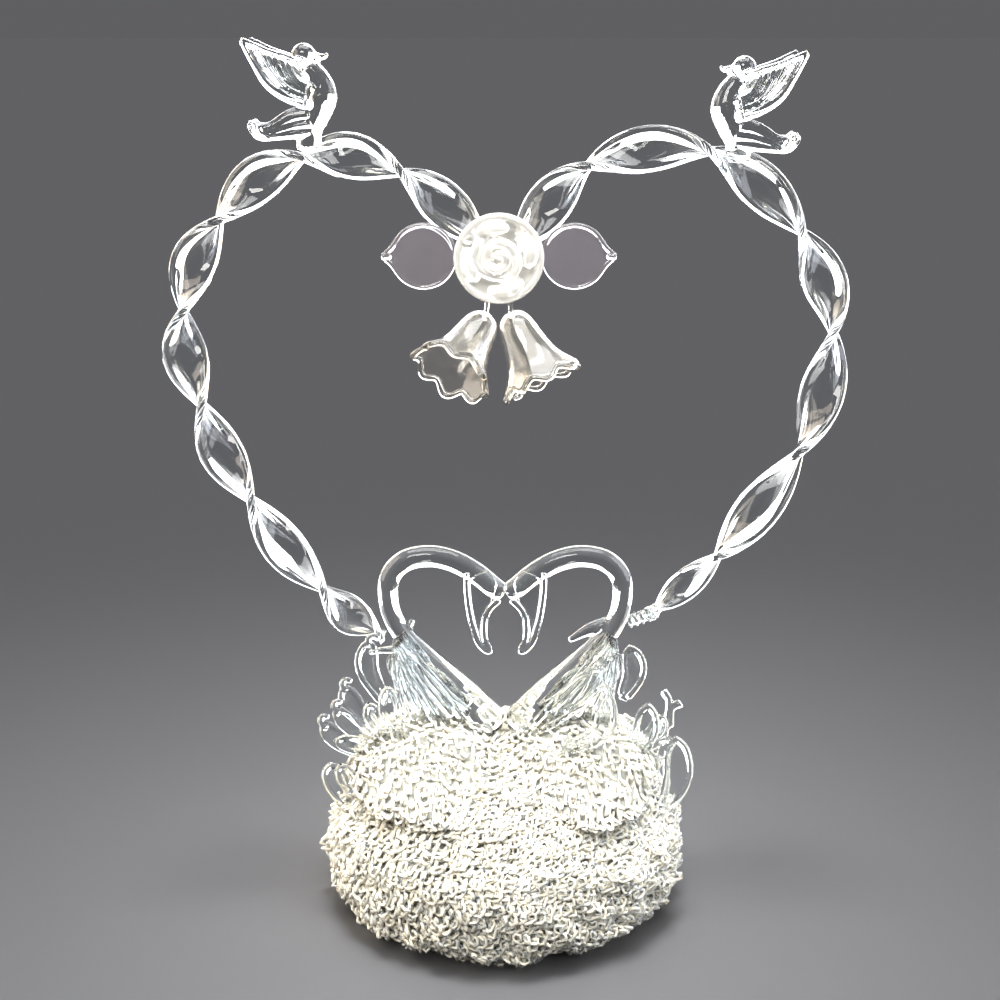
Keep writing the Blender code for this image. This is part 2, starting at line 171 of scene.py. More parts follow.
def clean_mesh(piece, reach=1e-6):
    """Merges points within reach and turns all faces outwards, in edit mode."""
    bpy.ops.object.select_all(action="DESELECT")
    piece.select_set(True)
    bpy.context.view_layer.objects.active = piece
    bpy.ops.object.mode_set(mode="EDIT")
    bpy.ops.mesh.select_all(action="SELECT")
    bpy.ops.mesh.remove_doubles(threshold=reach)
    bpy.ops.mesh.normals_make_consistent(inside=False)
    bpy.ops.object.mode_set(mode="OBJECT")
    return piece


def turned(line, steps):
    """Spins a line of points (metres) round the Z axis, as on a lathe."""
    bpy.ops.object.select_all(action="DESELECT")
    bpy.ops.mesh.primitive_plane_add(size=1.0)
    piece = bpy.context.object
    piece.data.clear_geometry()
    piece.data.from_pydata(line, [(k, k + 1) for k in range(len(line) - 1)], [])
    bpy.ops.object.mode_set(mode="EDIT")
    bpy.ops.mesh.select_all(action="SELECT")
    bpy.ops.mesh.spin(steps=steps, angle=2 * math.pi, center=(0, 0, 0), axis=(0, 0, 1))
    bpy.ops.object.mode_set(mode="OBJECT")
    return piece


def walled(piece, thickness):
    """Gives a skin its wall, inwards (mm)."""
    wall = piece.modifiers.new("Wall", "SOLIDIFY")
    wall.thickness = thickness * MM
    wall.offset = -1.0
    bpy.ops.object.modifier_apply(modifier=wall.name)
    return piece


def finished(piece, name, material, slot_name, *nodes):
    """Names a piece, gives it its glass, and says what it rides on and stands for."""
    piece.name = name
    piece.data.name = name
    piece.data.materials.clear()
    piece.data.materials.append(material)
    for face in piece.data.polygons:
        face.use_smooth = True
        face.material_index = 0
    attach(piece, "root")
    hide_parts(*nodes)
    return piece


# Lace glass thread: thin strands of clear glass, smooth and bright, white to cream, with dark grey blotches
# that are painted shade for pits, and the thousands of crossings scatter the light to white
lace_thread, tree = new_material("lace_thread_glass")
place = add_node(tree, "ShaderNodeTexCoord")
grain_and_pit_noise = add_node(tree, "ShaderNodeTexNoise", {"Scale": 1 / (1.0 * MM), "Detail": 2.0},
                  {"Vector": (place, "Object")})
bump = add_node(tree, "ShaderNodeBump", {"Strength": 0.3, "Distance": 0.15 * MM},
                {"Height": (grain_and_pit_noise, "Fac")})
# Painted shade: the ramp's dark grey low end paints shaded pits into the thread; the rest is its white and
# cream tone
tone_and_pit_shade = add_node(tree, "ShaderNodeValToRGB", {}, {"Fac": (grain_and_pit_noise, "Fac")})
tone_and_pit_shade.color_ramp.elements[0].position = 0.30
tone_and_pit_shade.color_ramp.elements[0].color = linear("#6A7074")
tone_and_pit_shade.color_ramp.elements[1].position = 0.60
tone_and_pit_shade.color_ramp.elements[1].color = linear("#FFF9E6")
white = tone_and_pit_shade.color_ramp.elements.new(0.38)
white.color = linear("#EEF0EE")
shader = add_node(tree, "ShaderNodeBsdfPrincipled",
                  {"Transmission Weight": 0.42, "IOR": GLASS_IOR, "Roughness": 0.10},
                  {"Base Color": (tone_and_pit_shade, "Color"), "Normal": (bump, "Normal")})
add_node(tree, "ShaderNodeOutputMaterial", {}, {"Surface": (shader, "BSDF")})

# Melted lace backing: the inner threads have run together to a crumbly, milky skin, white at each cell's
# middle and greyed towards its edge as painted shade for the crevices between crumbs
lace_backing, tree = new_material("lace_backing_glass")
place = add_node(tree, "ShaderNodeTexCoord")
cells = add_node(tree, "ShaderNodeTexVoronoi", {"Scale": 1 / (1.4 * MM)},
                 {"Vector": (place, "Object")})
# Painted shade: grey towards each cell's edge stands for shade in the crevices between crumbs
tone_and_pit_shade = add_node(tree, "ShaderNodeValToRGB", {}, {"Fac": (cells, "Distance")})
tone_and_pit_shade.color_ramp.elements[0].position = 0.10
tone_and_pit_shade.color_ramp.elements[0].color = linear("#FFFFFA")
tone_and_pit_shade.color_ramp.elements[1].position = 0.75
tone_and_pit_shade.color_ramp.elements[1].color = linear("#BDBFBA")
bump = add_node(tree, "ShaderNodeBump", {"Strength": 0.8, "Distance": 0.4 * MM},
                {"Height": (cells, "Distance")})
shader = add_node(tree, "ShaderNodeBsdfPrincipled",
                  {"Transmission Weight": 0.15, "IOR": GLASS_IOR, "Roughness": 0.35},
                  {"Base Color": (tone_and_pit_shade, "Color"), "Normal": (bump, "Normal")})
add_node(tree, "ShaderNodeOutputMaterial", {}, {"Surface": (shader, "BSDF")})

random.seed(11)


def lace_courses(name, courses, seat=None, node="lace_base"):
    """Courses of looped thread, each one closed strand round the Z axis, then put on their seat."""
    bpy.ops.object.select_all(action="DESELECT")
    bpy.ops.curve.primitive_nurbs_path_add()
    strand = bpy.context.object
    strand.data.splines.clear()
    strand.data.bevel_depth = THREAD_RADIUS * MM
    strand.data.bevel_resolution = 0
    for point, normal, depth in courses:
        up = Vector((-normal.z, 0.0, normal.x))
        loops = max(3, round(2 * math.pi * point.x / LOOP_PITCH))
        start = random.uniform(0, 2 * math.pi)
        spline = strand.data.splines.new("POLY")
        spline.points.add(loops * LOOP_POINTS - 1)
        spline.use_cyclic_u = True
        coordinates = []
        for loop in range(loops):
            size = LOOP_RADIUS * random.uniform(*LOOP_SIZES)
            shift = random.uniform(-LOOP_SHIFT, LOOP_SHIFT)
            tip = random.uniform(*LOOP_TIPS)
            middle = start + 2 * math.pi * loop / loops
            where = Vector((point.x * math.cos(middle), point.x * math.sin(middle), point.z))
            lump = noise.noise(where / LUMP_SIZE) * LUMP_HEIGHT
            lift = random.uniform(*LOOP_LIFTS) + lump - depth
            for j in range(LOOP_POINTS):
                phase = 2 * math.pi * j / LOOP_POINTS
                angle = start + 2 * math.pi * (loop + j / LOOP_POINTS) / loops
                rise = shift + size * math.sin(phase)
                rise += random.uniform(-LOOP_JITTER, LOOP_JITTER)
                out = lift + tip * size * math.cos(phase + shift)
                out += random.uniform(-LOOP_JITTER, LOOP_JITTER)
                spot = point + up * rise + normal * out
                if not seat:
                    spot.z = max(spot.z, THREAD_RADIUS)
                round_way = size * math.cos(phase)
                radius = max(0.2, spot.x)
                angle += round_way / max(1.0, radius)
                across = radius * math.cos(angle)
                away = radius * math.sin(angle)
                coordinates += [across * MM, away * MM, spot.z * MM, 1.0]
        spline.points.foreach_set("co", coordinates)
    bpy.ops.object.convert(target="MESH")
    if seat:
        strand.data.transform(seat)
    return finished(strand, name, lace_thread, "lace_glass", node)


skin = base_skin(COURSE_PITCH)
layers = [(point, normal, depth) for point, normal in zip(skin, outward(skin))
          for depth in LAYER_DEPTHS]
third = len(layers) // 3
lace_courses("lace_courses_foot", layers[:third])
lace_courses("lace_courses_shoulder", layers[third:2 * third])
lace_courses("lace_courses_top", layers[2 * third:-len(LAYER_DEPTHS)])

# The backing is turned: the skin's profile, a little inside, is spun round, made lumpy and crumbly,
# and given its wall
backing_skin = base_skin(BACKING_PITCH)
backing_line = [p - n * BACKING_DEPTH for p, n in zip(backing_skin, outward(backing_skin))]
spots = [Vector((max(0.0, p.x), 0.0, max(0.05, p.z))) * MM for p in backing_line]
spots[-1].x = 0.0
backing = clean_mesh(turned(spots, 200), 1e-5)
for vertex in backing.data.vertices:
    crumb = noise.noise(vertex.co / (CRUMB_SIZE * MM))
    crumb += 0.6 * noise.noise(vertex.co / (CRUMB_SIZE / 2 * MM))
    lump = noise.noise((vertex.co / MM + vertex.normal * BACKING_DEPTH) / LUMP_SIZE) * LUMP_HEIGHT
    if vertex.co.z > 0.3 * MM:
        vertex.co += vertex.normal * (crumb * CRUMB_HEIGHT + lump) * MM
finished(walled(backing, BACKING_WALL), "lace_backing", lace_backing, "lace_glass", "lace_base")

# Swans. Two figures of clear borosilicate rod over a body of the same lace as the base, which runs
# out into its top. The neck is a 4 mm rod, bent to an arch. The head and the feathers are webs
# pressed flat inside a round rim, and the wing is streaks that were pulled down to drips.

SWAN_FOOT = 26.3
SWAN_PLANE = -1.85
SWAN_GRAIN = 0.28
FEATHER_GRAIN = 0.25
FEATHER_RIM = 0.62
FEATHER_INSET = 0.35
FEATHER_WEB = 0.85
FEATHER_ROOT = 0.45
FEATHER_WIDEST = 0.65
FEATHER_TIP = (0.62, 0.385)
FEATHER_LEAN = 1.6
CURL_STEPS = [(-1.0, 0.0, 0.7), (0.7, 0.0, 0.7), (1.4, 0.9, 0.6), (0.6, 1.9, 0.55)]
ROD_FORWARD = 0.4
NECK = [
    (1.3, 8.8, 1.2), (2.1, 9.8, 2.4), (3.2, 11.2, 3.4), (8.2, 16.8, 3.0), (13.8, 22.5, 2.4),
    (18.9, 27.9, 2.0), (21.5, 32.4, 1.9), (22.3, 37.0, 1.95), (21.6, 41.0, 2.05), (18.7, 43.8, 2.15),
    (14.0, 44.6, 2.15), (9.4, 43.5, 2.15), (5.3, 41.1, 2.15), (2.2, 38.5, 2.1), (0.3, 37.2, 1.9),
]
HEAD_WEB = [(5.4, 41.0, 2.2), (4.4, 38.4, 3.0), (4.8, 35.6, 2.3), (5.2, 32.2, 1.5), (5.0, 29.2, 1.0),
            (4.2, 26.9, 0.9), (3.1, 25.8, 0.7)]
HEAD_THIN = 0.14
HEAD_RIM = 0.64
HEAD_RIMS = [
    [(7.2, 41.6), (7.2, 38.0), (6.9, 34.6), (6.2, 30.6), (5.0, 27.0), (3.4, 25.3), (2.4, 25.6)],
    [(0.9, 35.8), (2.4, 34.4), (3.5, 32.6), (3.9, 29.9), (3.7, 27.4), (2.9, 26.0)],
]
WING_FRONT = [(20.0, 28.8), (15.4, 22.8), (11.2, 17.8), (6.8, 13.4)]
WING_BACK = [(21.2, 27.0), (21.0, 21.2), (20.2, 16.2), (19.0, 11.6)]
WING_MIDDLE = (14.6, 17.4)
WING_CORE = (10.5, 1.2, 4.4)
WING_SLOPE = 43
WING_STREAKS = 8
WING_BULGE = (0.9, 1.9)
WING_DRIPS = (-0.9, 1.1)
DRIP_RADII = (0.7, 1.1)
WING_SHOULDER = (20.9, 30.5)
WING_RIDGES = 16.0
LEFT_FEATHERS = [
    (1.4, 4.2, (23.2, 13.5), (26.6, 21.0), (26.2, 27.4), 1),
    (-5.0, 3.8, (19.0, 8.5), (21.8, 14.6), (22.2, 20.4), 0),
    (-4.0, 3.4, (20.5, 7.5), (24.6, 12.2), (26.0, 16.6), 0),
    (-1.6, 3.9, (24.0, 9.0), (28.9, 14.6), (30.9, 19.2), 1),
    (-3.0, 3.4, (23.5, 7.0), (29.4, 11.0), (32.4, 15.2), 1),
    (-2.6, 3.8, (25.4, 3.8), (31.8, 7.9), (35.0, 11.9), 1),
    (-4.4, 3.4, (22.5, 5.5), (28.0, 7.6), (32.4, 9.2), 0),
    (-6.2, 4.6, (30.2, -5.0), (32.4, 0.2), (33.4, 5.0), 0),
    (-7.5, 3.6, (27.0, -2.0), (30.0, 1.5), (31.4, 5.5), 0),
]
RIGHT_FEATHERS = [
    (1.4, 4.4, (22.8, 14.5), (25.0, 20.4), (24.0, 26.2), 0),
    (-4.6, 5.5, (4.9, 10.6), (12.6, 17.3), (18.4, 24.2), 0),
    (-11.0, 3.9, (10.8, 9.5), (18.0, 13.6), (19.0, 21.8), 1),
    (-4.6, 4.8, (22.0, 3.1), (26.5, 9.3), (27.2, 16.6), 0),
    (-2.6, 3.6, (23.5, 5.0), (28.4, 9.0), (30.2, 13.6), 0),
    (-3.6, 3.0, (27.4, 3.6), (30.0, 6.4), (31.4, 9.4), 0),
    (-6.2, 5.4, (30.8, -5.5), (33.2, 1.5), (32.6, 10.4), 0),
]
LEFT_RODS = [
    [(19.4, 27.6, 1.3), (18.6, 30.0, 1.0), (17.6, 31.6, 0.6)],
    [(26.2, 25.0, 0.6), (23.4, 25.4, 0.7), (20.6, 25.6, 0.9)],
]
RIGHT_RODS = [
    [(19.5, 30.4, 1.9), (16.0, 29.6, 1.3), (12.2, 27.4, 0.6)],
    [(31.0, 5.8, 0.8), (31.6, 11.2, 0.7), (31.8, 14.8, 0.7), (30.7, 16.9, 0.9)],
    [(32.2, 9.4, 0.8), (32.4, 13.2, 0.7), (34.2, 14.4, 1.0)],
]
EGG_SPOT = (13.7, 1.2)
EGG_HALF = 16.3
EGG_ROUND = 10.6
EGG_DEEP = 16.5
EGG_SINK = 0.35
EGG_POWER = 2.1
EGG_LACE = 0.5
EGG_CORE_DEPTH = 1.6
EGG_CRUMBS = 9
EGG_CRUMB_HEIGHT = 0.5
SKIRT_HEIGHT = 7.0
SKIRT_SPREAD = 0.40


def through(points, steps):
    """Points along a smooth curve through the given ones, with steps to each stretch."""
    line = [Vector(p) for p in points]
    line = [2 * line[0] - line[1]] + line + [2 * line[-1] - line[-2]]
    out = []
    for a, b, c, d in zip(line, line[1:], line[2:], line[3:]):
        for k in range(steps):
            t = k / steps
            out.append(0.5 * (2 * b + (c - a) * t + (2 * a - 5 * b + 4 * c - d) * t ** 2
                              + (3 * b - a - 3 * c + d) * t ** 3))
    out.append(line[-2])
    return out


def row_radii(rows):
    """The rod's radius in each row, which is its last number."""
    return [row[-1] for row in rows]


def drawn(points, radii, steps=6, sides=3, closed=False, tilts=None, section=None):
    """Glass drawn along a smooth line through the points (metres), as thick as the radii (mm) say."""
    bpy.ops.object.select_all(action="DESELECT")
    bpy.ops.curve.primitive_bezier_curve_add()
    rod = bpy.context.object
    rod.data.resolution_u = steps
    rod.data.use_fill_caps = not closed
    if section:
        rod.data.bevel_mode = "OBJECT"
        rod.data.bevel_object = section
        rod.data.twist_mode = "Z_UP"
    else:
        rod.data.bevel_depth = MM
        rod.data.bevel_resolution = sides
        rod.data.twist_mode = "MINIMUM"
    spline = rod.data.splines[0]
    spline.bezier_points.add(len(points) - 2)
    spline.use_cyclic_u = closed
    count = len(points)
    for k, point in enumerate(points):
        before = points[k - 1] if k or closed else 2 * point - points[1]
        if k < count - 1 or closed:
            after = points[(k + 1) % count]
        else:
            after = 2 * point - points[k - 1]
        knot = spline.bezier_points[k]
        knot.handle_left_type = "FREE"
        knot.handle_right_type = "FREE"
        knot.co = point
        knot.handle_left = point - (after - before) / 6
        knot.handle_right = point + (after - before) / 6
        knot.radius = radii[k] if isinstance(radii, (list, tuple)) else radii
        knot.tilt = tilts[k] if tilts else 0.0
    bpy.ops.object.convert(target="MESH")
    return clean_mesh(rod)


def joined(pieces):
    """Joins pieces to the first one."""
    bpy.ops.object.select_all(action="DESELECT")
    for piece in pieces:
        piece.select_set(True)
    bpy.context.view_layer.objects.active = pieces[0]
    bpy.ops.object.join()
    return pieces[0]


def melted(pieces, grain, flow):
    """Melts pieces together: joined, a voxel remesh of that grain (mm), then smoothing."""
    whole = joined(pieces)
    melt = whole.modifiers.new("Melt", "REMESH")
    melt.mode = "VOXEL"
    melt.voxel_size = grain * MM
    bpy.ops.object.modifier_apply(modifier=melt.name)
    ease = whole.modifiers.new("Flow", "SMOOTH")
    ease.factor = 0.5
    ease.iterations = flow
    bpy.ops.object.modifier_apply(modifier=ease.name)
    return whole


def flat_pressed(rod, thin):
    """Presses a rod flat in the plane of the figure, to a share of its thickness."""
    bpy.ops.object.select_all(action="DESELECT")
    rod.select_set(True)
    bpy.context.view_layer.objects.active = rod
    bpy.ops.transform.resize(value=(1, thin, 1), center_override=(0, 0, 0))
    bpy.ops.object.transform_apply(location=False, rotation=False, scale=True)
    return rod


def on_plane(side, out, up, y=0.0):
    """Point of a swan: out from the topper's middle, up from the base's top, y from its plane."""
    return Vector((side * (out + 0.15), SWAN_PLANE + y, SWAN_FOOT + up)) * MM


def leaned(piece, root, tip, y, lean):
    """Moves a flat piece to its depth y, and leans it towards the viewer along its length."""
    way = tip - root
    for vertex in piece.data.vertices:
        share = (vertex.co - root).dot(way) / way.length_squared
        share = min(1.1, max(0.0, share))
        vertex.co.y += (y - lean * share ** 2) * MM
    return piece


def feather(side, y, width, root, middle, tip, curl):
    """A petal of glass: web pressed flat, round rim, and a tip that may end in a curl."""
    centre = through([on_plane(side, *spot, -SWAN_PLANE) for spot in (root, middle, tip)], 6)
    count = len(centre) - 1
    halves = []
    for k in range(count + 1):
        share = k / count
        swell = FEATHER_ROOT + (1 - FEATHER_ROOT) * math.sin(math.pi / 2 * min(1.0, share / FEATHER_WIDEST))
        round_end = math.sqrt(max(0.02, 1 - (max(0.0, share - FEATHER_TIP[0]) / FEATHER_TIP[1]) ** 2))
        halves.append(width / 2 * swell * round_end)
    left, right = [], []
    for k, point in enumerate(centre):
        way = (centre[min(k + 1, count)] - centre[max(k - 1, 0)]).normalized()
        across = Vector((way.z, 0.0, -way.x))
        left.append(point + across * (halves[k] - FEATHER_INSET) * MM)
        right.append(point - across * (halves[k] - FEATHER_INSET) * MM)
    rim = left + right[::-1]
    web = flat_pressed(drawn(centre, halves, 3), FEATHER_WEB / width)
    pieces = [web, drawn(rim[1:-1], FEATHER_RIM, 2)]
    if curl:
        way = (centre[-1] - centre[-3]).normalized()
        across = Vector((way.z, 0.0, -way.x)) * side * curl
        hook = [centre[-1] + (way * ahead - across * aside) * MM for ahead, aside, _ in CURL_STEPS]
        pieces.append(drawn(hook, row_radii(CURL_STEPS), 4))
    for piece in pieces:
        leaned(piece, centre[0], centre[-1], SWAN_PLANE + y, FEATHER_LEAN)
    return melted(pieces, FEATHER_GRAIN, 1)


def settled(piece):
    """Presses what is below the base's edge into its lace, and spreads the lowest part over it."""
    floor_height = SWAN_FOOT * MM
    for vertex in piece.data.vertices:
        if vertex.co.z < floor_height:
            vertex.co.z = floor_height + (vertex.co.z - floor_height) * EGG_SINK
        low = 1 - max(0.0, vertex.co.z - floor_height) / (SKIRT_HEIGHT * MM)
        if low > 0:
            vertex.co.y += (vertex.co.y - SWAN_PLANE * MM) * SKIRT_SPREAD * low ** 2
    return piece


def swan_body(name, side):
    """Blunt egg of the body, of lace like the base: courses round its long axis over a milky core."""
    steps = 400
    fine = []
    for k in range(steps + 1):
        turn = math.pi * k / steps
        radius = EGG_ROUND * max(0.0, math.sin(turn)) ** (2 / EGG_POWER)
        along = math.copysign(abs(math.cos(turn)) ** (2 / EGG_POWER), math.cos(turn))
        fine.append(Vector((radius, 0.0, -EGG_HALF * along)))
    line = evenly(fine, COURSE_PITCH)
    spot = on_plane(side, *EGG_SPOT)
    seat = (Matrix.Translation(spot) @ Matrix.Rotation(math.pi / 2, 4, "Y")
            @ Matrix.Diagonal((1.0, EGG_DEEP / EGG_ROUND, 1.0, 1.0)))
    courses = [(point, normal, EGG_LACE) for point, normal in zip(line, outward(line))][1:-1]
    settled(lace_courses(name + "_lace_body", courses, seat, name))
    bpy.ops.object.select_all(action="DESELECT")
    bpy.ops.mesh.primitive_ico_sphere_add(subdivisions=5, radius=1.0)
    core = bpy.context.object
    for vertex in core.data.vertices:
        x, y, z = vertex.co
        across = math.hypot(y / (EGG_DEEP - EGG_CORE_DEPTH), z / (EGG_ROUND - EGG_CORE_DEPTH))
        along = abs(x) / (EGG_HALF - EGG_CORE_DEPTH)
        reach = (along ** EGG_POWER + across ** EGG_POWER) ** (-1 / EGG_POWER)
        reach += noise.noise(vertex.co * EGG_CRUMBS) * EGG_CRUMB_HEIGHT
        vertex.co = vertex.co * reach * MM + spot
    return finished(settled(core), name + "_body_core", lace_backing, "lace_glass", name)


def wing(name, side):
    """Flat core with streaks pulled down side by side on both its faces, each to a drip."""
    lean = math.radians(-WING_SLOPE * side)
    bpy.ops.mesh.primitive_uv_sphere_add(segments=32, ring_count=16, radius=MM, scale=WING_CORE,
                                         location=on_plane(side, *WING_MIDDLE), rotation=(0, lean, 0))
    bpy.ops.object.transform_apply(location=True, rotation=True, scale=True)
    pieces = [bpy.context.object]
    for k in range(WING_STREAKS):
        share = k / (WING_STREAKS - 1)
        for face in (-1, 1):
            drip = random.uniform(*WING_DRIPS)
            line = []
            for j, (front, back) in enumerate(zip(WING_FRONT, WING_BACK)):
                out, up = Vector(front).lerp(Vector(back), share)
                bulge = WING_BULGE[0] + WING_BULGE[1] * math.sin(math.pi * (j + 0.6) / 4.4)
                bulge *= 0.6 + 0.4 * math.sin(math.pi * share)
                line.append(on_plane(side, out, up - (drip if j == 3 else 0.0), face * bulge))
            pieces.append(drawn(line, [0.5, 0.62, 0.74, random.uniform(*DRIP_RADII)], 6, 4))
    return finished(joined(pieces), name + "_wing_pulled", pulled_wing_glass, "clear_glass", name)


def swan(name, side, feathers, rods):
    """Neck with its spurs, head and feathers, each melted by itself and put together."""
    neck = [drawn([on_plane(side, out, up) for out, up, _ in NECK], row_radii(NECK), 8, 5)]
    for rod in rods:
        line = [on_plane(side, out, up, ROD_FORWARD) for out, up, _ in rod]
        neck.append(drawn(line, row_radii(rod), 5))
    line = [on_plane(side, out, up, -SWAN_PLANE) for out, up, _ in HEAD_WEB]
    web = flat_pressed(drawn(line, row_radii(HEAD_WEB), 6), HEAD_THIN)
    web.data.transform(Matrix.Translation((0, SWAN_PLANE * MM, 0)))
    head = [web] + [drawn([on_plane(side, *spot) for spot in rim], HEAD_RIM, 5) for rim in HEAD_RIMS]
    parts = [melted(neck, SWAN_GRAIN, 3), melted(head, FEATHER_GRAIN, 1)]
    parts += [feather(side, *row) for row in feathers]
    return finished(joined(parts), name + "_figure", clear_glass, "clear_glass", name)


# Pulled wing glass: the same clear glass, drawn down from the shoulder in the flame, which leaves fine
# ridges that fan out from there as bumps; along them the glass is made a little less clear and whiter, a
# painted highlight for the white streaks where the ridges catch the light
pulled_wing_glass, tree = new_material("pulled_wing_glass")
place = add_node(tree, "ShaderNodeTexCoord")
axes = add_node(tree, "ShaderNodeSeparateXYZ", {}, {"Vector": (place, "Object")})
mirrored = add_node(tree, "ShaderNodeMath", {}, {0: (axes, "X")}, operation="ABSOLUTE")
beside = add_node(tree, "ShaderNodeMath", {1: WING_SHOULDER[0] * MM}, {0: (mirrored, "Value")},
                  operation="SUBTRACT")
below = add_node(tree, "ShaderNodeMath", {1: (SWAN_FOOT + WING_SHOULDER[1]) * MM}, {0: (axes, "Z")},
                 operation="SUBTRACT")
fan = add_node(tree, "ShaderNodeMath", {}, {0: (beside, "Value"), 1: (below, "Value")}, operation="ARCTAN2")
ridge_place = add_node(tree, "ShaderNodeCombineXYZ", {}, {"X": (fan, "Value"), "Y": (axes, "Y")})
ridges = add_node(tree, "ShaderNodeTexNoise", {"Scale": WING_RIDGES, "Detail": 1.0},
                  {"Vector": (ridge_place, "Vector")})
bump = add_node(tree, "ShaderNodeBump", {"Strength": 0.5, "Distance": 0.5 * MM},
                {"Height": (ridges, "Fac")})
# Painted highlight: where the ridge noise is low the glass is made less clear, so whiter streaks show along
# the fan
clearness_with_painted_streaks = add_node(tree, "ShaderNodeMapRange",
                     {"From Min": 0.35, "From Max": 0.5, "To Min": 0.90, "To Max": 1.0},
                     {"Value": (ridges, "Fac")})
shader = add_node(tree, "ShaderNodeBsdfPrincipled",
                  {"Base Color": linear("#F8FBFB"), "IOR": GLASS_IOR, "Roughness": 0.03},
                  {"Normal": (bump, "Normal"), "Transmission Weight": (clearness_with_painted_streaks, "Result")})
add_node(tree, "ShaderNodeOutputMaterial", {}, {"Surface": (shader, "BSDF")})

# Clear borosilicate, flame polished: no colour, mirror-smooth with a faint ripple where the flame
# let it flow
clear_glass, tree = new_material("clear_borosilicate")
place = add_node(tree, "ShaderNodeTexCoord")
ripples = add_node(tree, "ShaderNodeTexNoise", {"Scale": 1 / (5.0 * MM), "Detail": 1.0},
                   {"Vector": (place, "Object")})
bump = add_node(tree, "ShaderNodeBump", {"Strength": 0.25, "Distance": 0.3 * MM},
                {"Height": (ripples, "Fac")})
shader = add_node(tree, "ShaderNodeBsdfPrincipled",
                  {"Base Color": linear("#F8FBFB"), "Transmission Weight": 1.0, "IOR": GLASS_IOR,
                   "Roughness": 0.015},
                  {"Normal": (bump, "Normal")})
add_node(tree, "ShaderNodeOutputMaterial", {}, {"Surface": (shader, "BSDF")})

swan("swan_left", -1, LEFT_FEATHERS, LEFT_RODS)
swan("swan_right", 1, RIGHT_FEATHERS, RIGHT_RODS)
for swan_name, swan_side in (("swan_left", -1), ("swan_right", 1)):
    wing(swan_name, swan_side)
    swan_body(swan_name, swan_side)

# Heart. Two flat rods with round rims, 8.5 mm wide, of the same clear borosilicate, each twisted to
# the right as it was pulled and bent to half a heart. Their ends are fused behind the rose and
# behind the swans' necks, and the right one is twisted to a thin rope there.

HEART_HALF = 61.0
HEART_HEIGHT = 105.0
HEART_FOOT = 40.5
HEART_PLANE = 4.5
RIBBON_HALF = 4.25
RIM_HALF = 0.95
WEB_HALF = 0.36
WEB_SLOPE = [(1.1, 0.62), (1.9, 0.42)]
ROPE_CORE = 1.2
ROPE_WIDTH = 0.5
LEFT_CROSSINGS = [
    (0.056, 0.840, 1.0), (0.303, 0.966, 1.0), (0.603, 0.997, 1.0), (0.868, 0.887, 1.0),
    (0.990, 0.720, 1.0), (0.939, 0.543, 1.0), (0.790, 0.363, 1.0), (0.568, 0.192, 1.0),
    (0.392, 0.110, 0.75),
]
RIGHT_CROSSINGS = [
    (0.030, 0.840, 1.0), (0.256, 0.982, 1.0), (0.612, 1.002, 1.0), (0.885, 0.868, 1.0),
    (1.000, 0.699, 1.0), (0.930, 0.486, 1.0), (0.695, 0.286, 1.0), (0.490, 0.170, 0.45),
    (0.470, 0.160, 0.36), (0.450, 0.154, 0.36), (0.431, 0.150, 0.36), (0.412, 0.146, 0.36),
    (0.394, 0.143, 0.36),
]


def ribbon_section():
    """Outline of the flat rod: a thin web that thickens to a round rim at both edges."""
    edge = []
    middle = RIBBON_HALF - RIM_HALF
    for k in range(13):
        angle = math.pi * (k / 12 - 0.5) * 1.25
        edge.append((middle + RIM_HALF * math.cos(angle), RIM_HALF * math.sin(angle)))
    slope = [(middle - inwards, half) for inwards, half in WEB_SLOPE]
    top = edge + slope + [(0.0, WEB_HALF)]
    outline = top + [(-x, y) for x, y in reversed(top[:-1])]
    lower = [(-x, -y) for x, y in slope] + [(0.0, -WEB_HALF)] + [(x, -y) for x, y in reversed(slope)]
    bpy.ops.object.select_all(action="DESELECT")
    bpy.ops.curve.primitive_nurbs_path_add()
    section = bpy.context.object
    section.data.dimensions = "2D"
    section.data.splines.clear()
    spline = section.data.splines.new("POLY")
    points = outline + lower
    spline.points.add(len(points) - 1)
    spline.use_cyclic_u = True
    for point, (x, y) in zip(spline.points, points):
        point.co = (y * MM, x * MM, 0.0, 1.0)
    return section


def ribbon(name, side, crossings, section):
    """The section swept through the crossings, half a turn from each to the next, and a rope end."""
    points = [Vector((side * x * HEART_HALF, HEART_FOOT + z * HEART_HEIGHT, 0.0)) * MM
              for x, z, _ in crossings]
    tilts = [math.pi * k for k in range(len(crossings))]
    strip = drawn(points, row_radii(crossings), 40, tilts=tilts, section=section)
    rope = [point for point, (_, _, wide) in zip(points, crossings) if wide < ROPE_WIDTH]
    if rope:
        strip = joined([strip, drawn(rope, ROPE_CORE, 4)])
    upright = Matrix.Rotation(math.pi / 2, 4, "X")
    strip.data.transform(Matrix.Translation((0, HEART_PLANE * MM, 0)) @ upright)
    return finished(strip, name + "_twisted", clear_glass, "clear_glass", name)


section = ribbon_section()
ribbon("heart_ribbon_left", -1, LEFT_CROSSINGS, section)
ribbon("heart_ribbon_right", 1, RIGHT_CROSSINGS, section)
bpy.data.objects.remove(section)

# Rose and leaves, of clear glass. The rose is a shallow cup, 16 mm across, with four petals laid
# round its face and one wound inwards. The leaves are gathers pressed flat, with a round rim and a
# drawn-out tip, tucked behind the rose's edge.

